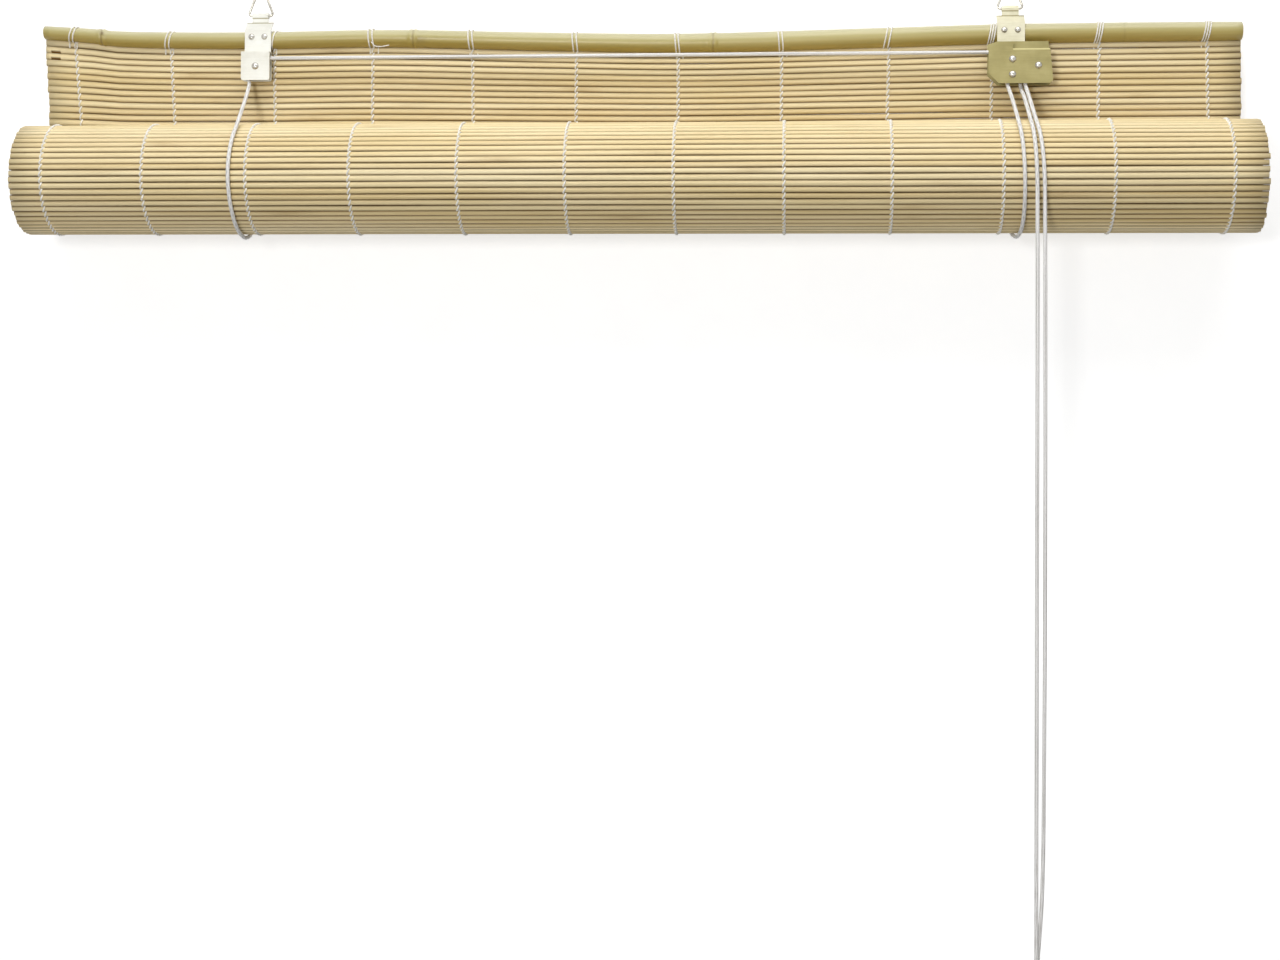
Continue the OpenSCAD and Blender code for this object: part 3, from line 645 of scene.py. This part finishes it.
def add_slat(shape, u, width, edge, x_from, x_to, stations, sides, chance, slits=()):
    """One slat of split bamboo: rounded, a little wavy, darker at its nodes, with painted shade at its
    edges, painted shadow in its slits, and painted light on the hanging slats' left ends and the roll's top
    """
    at, outward = slat_place(u)
    along = Vector((0, -outward.z, outward.y))
    half_t = SLAT_T / 2 * chance.uniform(0.93, 1.03)
    half_w = width / 2 * chance.uniform(0.97, 1.02)
    tone = chance.random()
    phases = [chance.uniform(0, 2 * math.pi) for _ in range(3)]
    scars = [chance.uniform(-0.35, 0.35) for _ in range(chance.choice((1, 1, 2)))]
    places = [x_from + (x_to - x_from) * k / stations for k in range(stations + 1)]
    for slit in slits:
        places += [slit + SLIT_HALF * share for share in (-1.25, -1, -0.8, 0.8, 1, 1.25)]
    rings = []
    tones = []
    for x in sorted(places):
        drift = 0.1 * MM * math.sin(11 * x + phases[0]) + 0.06 * MM * math.sin(37 * x + phases[1])
        stretch = (hang_lift(u - 0.5, x) - hang_lift(u + 0.5, x)) / SLAT_PITCH
        fat = 1 + stretch + 0.025 * math.sin(23 * x + phases[2])
        near = max(math.exp(-((x - s) / SCAR_LEN) ** 2) for s in scars)
        # Painted light: paler left ends on the hanging slats and a paler top on the roll, with less painted
        # groove shade there
        end_light = END_PAINTED_LIGHT * math.exp(-((x - x_from) / END_PAINTED_LIGHT_LEN) ** 2)
        painted_light = end_light if u < 0 else TOP_PAINTED_LIGHT * max(0, outward.z) ** 2
        centre = at + Vector((x, 0, hang_lift(u, x))) + along * drift
        in_slit_shadow = any(abs(x - slit) < 1.1 * SLIT_HALF for slit in slits)
        ring = []
        shades = []
        for j in range(sides):
            a = 2 * math.pi * j / sides
            lift = half_t * math.cos(a) * (1 + 0.06 * near)
            ring.append(centre + outward * lift + along * (half_w * fat * math.sin(a)))
            # Painted shadow in the slits, and painted shade growing toward the slat's edges
            dark = in_slit_shadow and math.sin(a) < SLIT_TOP
            shade = 1 if dark else abs(math.sin(a)) ** edge * (1 - painted_light)
            shades.append((tone + (1 - tone) * painted_light, 0.3 * near, shade))
        rings.append(ring)
        tones.append(shades)
    shape.loft(rings, tones)


def add_mat():
    """Hanging slats, and the slats of the roll turn by turn"""
    chance = random.Random(11)
    finish = slat_finish()
    hanging = Shape()
    for i in range(1, FLAT_SLATS + 1):
        slant = LEFT_SLANT * (1 - i / FLAT_SLATS) - LEFT_OVER
        left = -HALF_W + slant + chance.uniform(-0.7, 0.1) * MM
        right = HALF_W + chance.uniform(*RIGHT_OVER_MM) * MM
        slits = [SLIT_X] if FLAT_SLATS + 1 - i in SLIT_SLATS else []
        add_slat(
            hanging, -i, SLAT_W, SLAT_GROOVE_SHADE, left, right, HANGING_STATIONS, FINE_SIDES, chance, slits)
    hanging.build("hanging_slats", finish, "bamboo_mat", "hanging_mat")
    rolled = Shape()
    rate = TURN_PITCH / (2 * math.pi)
    count = int((ROLL_R0 ** 2 - ROLL_R1 ** 2) / (2 * rate) / SLAT_PITCH)
    for i in range(count):
        stations, sides = PLAIN_STATIONS, PLAIN_SIDES
        if i < FINE_SLATS:
            stations, sides = FINE_STATIONS, FINE_SIDES
        slip = ROLL_SLIP * math.exp(-i / SLIP_SLATS)
        left = -HALF_W + slip / 5 + chance.uniform(-0.5, 0.5) * MM
        right = HALF_W + slip + chance.uniform(-0.6, 0.6) * MM
        add_slat(rolled, i, ROLLED_W, ROLLED_GROOVE_SHADE, left, right, stations, sides, chance)
    rolled.build("rolled_slats", finish, "bamboo_mat", "rolled_mat")


def thread_place(i, u):
    """Where along the mat thread number i crosses slat number u"""
    at_pole, above_roll, on_roll = (stray * MM for stray in THREAD_STRAYS[i])
    hung = at_pole + (above_roll - at_pole) * min(1, 1 + u / FLAT_SLATS)
    rolled = min(max(u / DRIFT_SLATS, 0), 1)
    return THREADS[i] + hung + (on_roll - hung) * rolled


def add_threads():
    """Pairs of threads that twine round each slat, down the mat and once round the roll"""
    shape = Shape()
    steps = 6
    turn_slats = 2 * math.pi * ROLL_R0 / SLAT_PITCH - 1.5
    total = int((FLAT_SLATS + 0.5 + turn_slats) * steps)
    for i in range(THREAD_COUNT):
        for strand in (0, 1):
            path = []
            for k in range(total + 1):
                u = -FLAT_SLATS - 0.5 + k / steps
                at, outward = slat_place(u)
                swing = math.cos(math.pi * (u + strand))
                reach = (SLAT_T / 2 + 0.7 * THREAD_R) * math.copysign(abs(swing) ** 0.6, swing)
                side = THREAD_SWING * math.sin(math.pi * (u + strand))
                place = thread_place(i, u)
                path.append(at + Vector((place + side, 0, hang_lift(u, place))) + outward * reach)
            shape.tube(path, THREAD_R, 6)
    shape.build("twined_threads", thread_finish(), "thread", "warp_threads")


def lashing_turns(i, chance):
    """Number of turns of a lashing and their pitch: more at the right end and beside the lock"""
    if i > THREAD_COUNT - 4:
        return 3, 1.6 * MM
    return 2, chance.uniform(2.2, 2.8) * MM


def add_lashings():
    """Turns of thread that tie the mat to the pole, one with a loose end"""
    shape = Shape()
    chance = random.Random(5)
    steps = 20
    lead = 3
    for i in range(THREAD_COUNT):
        turns, pitch = lashing_turns(i, chance)
        middle = thread_place(i, -FLAT_SLATS)
        radius = between(POLE_GIRTH, middle) + 1.1 * LASH_R
        slant = (1 if 2 < i < 8 else -1) * MM
        path = []
        for k in range(-lead, turns * steps + lead + 1):
            turn = min(max(k / steps, 0), turns)
            a = 2 * math.pi * turn
            place = middle + (turn - turns / 2) * pitch + slant * math.cos(a)
            sunk = SLAT_PITCH * max(-k, k - turns * steps, 0) / lead
            path.append(pole_axis(place) - Vector((0, radius * math.sin(a), radius * math.cos(a) + sunk)))
        shape.tube(path, LASH_R, 6)
        if i == LOOSE_END:
            start = pole_axis(middle) - Vector((0, radius * 0.88, radius * 0.5))
            tail = [start + MM * Vector(step) for step in LOOSE_STEPS]
            shape.tube(tail, 0.7 * LASH_R, 6)
    shape.build("lashing_threads", thread_finish(), "thread", "pole_lashings")


def culm_radius(x, radius, nodes):
    """Radius of a culm and how scarred it is: two ridges and a groove at each node"""
    grown = radius
    scar_and_shade = 0
    for place, strength in nodes:
        d = (x - place) / NODE_LEN
        ridges = math.exp(-((d - 0.2) / 0.16) ** 2) + 0.8 * math.exp(-((d + 0.22) / 0.2) ** 2)
        grown += strength * NODE_SWELL * ridges
        scar_and_shade = max(scar_and_shade, strength * math.exp(-(d / 0.09) ** 2))
    return grown, scar_and_shade


def add_culm(name, axis, girth, half, nodes, finish, node, buds=()):
    """Bamboo pole with nodes, bud scars and open ends, along an axis and with a radius at each place"""
    shape = Shape()
    stations = {round(-half + 2 * half * k / CULM_SPANS, 5) for k in range(CULM_SPANS + 1)}
    for place, _ in nodes:
        stations |= {round(place + NODE_LEN * k / 10, 5) for k in range(-8, 9)}
    stations = sorted(x for x in stations if -half <= x <= half)
    rows = []
    for side in (-1, 1):
        outer = girth(side * half)
        bore = outer - POLE_WALL
        ends = [(half - BORE_DEPTH, 0), (half - BORE_DEPTH, bore), (half, bore), (half, outer - RIM_R)]
        # Open ends: painted shade deepens towards the bottom of the bore
        rows.append([(side * x, r, 0.5 if x < half else 0, 1 if r else 0.2) for x, r in ends])
    middle = []
    for x in stations:
        grown, scar_and_shade = culm_radius(x, girth(x), nodes)
        place = min(max(x, -half + RIM_R), half - RIM_R)
        middle.append((place, grown, 0.55 * scar_and_shade, 0))
    rows = rows[0] + middle + rows[1][::-1]
    rings = []
    tones = []
    for x, r, scar_and_shade, cut in rows:
        ring = []
        shades = []
        for j in range(CULM_SIDES):
            a = 2 * math.pi * j / CULM_SIDES
            oval = 1 + 0.012 * math.sin(2 * a + 9 * x) + 0.012 * math.sin(17 * x)
            ring.append(axis(x) - Vector((0, r * oval * math.sin(a), r * oval * math.cos(a))))
            marks = [
                dark * math.exp(-(math.hypot(x - at, r * (a - angle)) / size) ** 2)
                for at, angle, size, dark in buds
            ]
            # Red: height round the pole, for its painted light; green: scars and painted shade in the bore;
            # blue: cut ends
            shades.append(((1 - math.cos(a)) / 2, max([scar_and_shade] + marks), cut))
        rings.append(ring)
        tones.append(shades)
    shape.loft(rings[::-1], tones[::-1], capped=False)
    shape.build(name, finish, "bamboo_pole", node)


def add_poles():
    """Head pole, and the bottom pole in the core of the roll"""
    finish = culm_finish()
    add_culm(
        "head_culm", pole_axis, lambda x: between(POLE_GIRTH, x), pole_high.x, HEAD_NODES,
        finish, "head_pole", BUDS)
    add_culm(
        "core_culm", lambda x: Vector((x, ROLL_Y, ROLL_Z)), lambda x: CORE_R, core_high.x, CORE_NODES,
        finish, "bottom_pole")


def dress_metal():
    """Materials and softened edges of the brackets, rings, pulleys and fasteners"""
    # Left bracket's plating: whiter than the right hanger's, partly a painted reflection of the light
    white = metal_finish(
        "white_plating", srgb(203, 201, 188), srgb(218, 217, 208), srgb(226, 226, 219),
        0.45, 0.15, hanger_crease_shade)
    pale = metal_finish(
        "pale_plating", srgb(191, 185, 154), srgb(213, 208, 181), srgb(228, 224, 202),
        0.4, 0.35, hanger_crease_shade)
    olive, highlit_olive = (
        metal_finish(name, srgb(138, 129, 80), srgb(156, 146, 95), srgb(170, 160, 110), 0.4, 0.4, detail)
        for name, detail in (("olive_plating", None), ("highlit_olive_plating", step_highlight)))
    bright = metal_finish(
        "bright_rivets", srgb(158, 155, 147), srgb(186, 183, 175), srgb(210, 208, 202), 0.22, 0.9)
    brass = metal_finish(
        "plain_brass", srgb(166, 140, 80), srgb(194, 170, 106), srgb(214, 194, 134), 0.3, 0.9)
    steel = metal_finish(
        "ring_steel", srgb(160, 156, 146), srgb(190, 186, 175), srgb(214, 211, 202), 0.28, 0.85)
    finishes = {
        white: ("left_hanger", "left_housing"),
        pale: ("right_hanger",),
        olive: ("lock_back_plate",),
        highlit_olive: ("lock_front_plate",),
        bright: ("bracket_screws", "left_axle", "lock_axle", "lock_guide", "lock_cam_axle"),
        brass: ("left_pulley", "lock_pulley", "lock_cam"),
        steel: ("left_ring", "right_ring", "cord_staples"),
    }
    edged = ("left_hanger", "right_hanger", "left_housing", "lock_back_plate", "lock_front_plate")
    for finish, nodes in finishes.items():
        for name in nodes:
            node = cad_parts[name]
            node.data.materials.clear()
            node.data.materials.append(finish)
            if name in edged:
                edge = node.modifiers.new("soft_edges", "BEVEL")
                edge.width = FRONT_EDGE_R if name == "lock_front_plate" else EDGE_R
                edge.segments = 3
                edge.limit_method = "ANGLE"
                edge.angle_limit = math.radians(50)


def add_plane(name, corners, material):
    """Flat piece of the stage"""
    mesh = bpy.data.meshes.new(name)
    mesh.from_pydata(corners, [], [(0, 1, 2, 3)])
    made = bpy.data.objects.new(name, mesh)
    mesh.materials.append(material)
    bpy.context.collection.objects.link(made)


def background_rays(tree):
    """Socket that is 1 for rays that see the background directly or in a reflection"""
    rays = tree.nodes.new("ShaderNodeLightPath")
    seen = rays.outputs["Is Camera Ray"]
    for kind in ("Is Glossy Ray", "Is Transmission Ray"):
        either = tree.nodes.new("ShaderNodeMath")
        either.operation = "MAXIMUM"
        tree.links.new(seen, either.inputs[0])
        tree.links.new(rays.outputs[kind], either.inputs[1])
        seen = either.outputs[0]
    return seen


def stage_finish(name, shade, glow):
    """Pale wall or floor: seen as white apart from its shadows, and clear from behind and to the lamps"""
    made = Finish(name, 0.9)
    grain = made.noise((30, 30, 30), 2.0)
    made.colour(made.ramp(
        grain, (0.3, srgb(shade, shade, shade)), (0.7, srgb(shade + 4, shade + 4, shade + 3))))
    made.shader.inputs["Emission Color"].default_value = (1, 1, 1, 1)
    seen = made.node("MapRange", Value=background_rays(made.tree), To_Min=0.0, To_Max=glow)
    made.tree.links.new(seen.outputs["Result"], made.shader.inputs["Emission Strength"])
    clear = made.node("BsdfTransparent")
    behind = made.node("NewGeometry").outputs["Backfacing"]
    shadow = made.node("LightPath").outputs["Is Shadow Ray"]
    sides = made.node("MixShader", Fac=made.combine("MAXIMUM", behind, shadow))
    made.tree.links.new(made.shader.outputs[0], sides.inputs[1])
    made.tree.links.new(clear.outputs[0], sides.inputs[2])
    made.tree.links.new(sides.outputs[0], made.tree.nodes["Material Output"].inputs["Surface"])
    return made.material


def add_lamp(name, at, aim, width, height, power):
    """Rectangular lamp, turned to the point it aims at"""
    data = bpy.data.lights.new(name, "AREA")
    data.shape = "RECTANGLE"
    data.size = width
    data.size_y = height
    data.energy = power
    lamp = bpy.data.objects.new(name, data)
    lamp.location = at
    lamp.rotation_euler = (Vector(aim) - Vector(at)).to_track_quat("-Z", "Y").to_euler()
    bpy.context.collection.objects.link(lamp)


def add_stage():
    """White wall close behind, floor below, wide soft lights from above and behind, a weak one in front"""
    wall_y = 0.018
    floor_z = -0.8
    wide = 4
    add_plane(
        "wall",
        [(-wide, wall_y, floor_z), (wide, wall_y, floor_z), (wide, wall_y, wide), (-wide, wall_y, wide)],
        stage_finish("wall_white", 186, 0.66))
    add_plane(
        "floor",
        [(-wide, -wide, floor_z), (wide, -wide, floor_z), (wide, wide, floor_z), (-wide, wide, floor_z)],
        stage_finish("floor_white", 160, 0.8))
    add_lamp("key", (0.08, -0.62, 0.85), (0, -0.03, -0.12), 1.5, 0.6, 11.8)
    add_lamp("front", (-0.35, -2.0, -0.12), (0, 0, -0.15), 0.3, 0.3, 15)
    add_lamp("rear", (0.1, 1.3, 0.5), (0, 0, -0.12), 1.5, 0.6, 16)
    world = bpy.data.worlds.new("studio")
    world.use_nodes = True
    tree = world.node_tree
    background = tree.nodes["Background"]
    background.inputs["Color"].default_value = (1, 1, 1, 1)
    level = tree.nodes.new("ShaderNodeMapRange")
    level.inputs["To Min"].default_value = 0.3
    level.inputs["To Max"].default_value = 1.0
    tree.links.new(background_rays(tree), level.inputs["Value"])
    tree.links.new(level.outputs["Result"], background.inputs["Strength"])
    bpy.context.scene.world = world
    bpy.context.scene.view_settings.view_transform = "Standard"


add_camera()
add_cords()
add_poles()
add_mat()
add_threads()
add_lashings()
dress_metal()
add_stage()
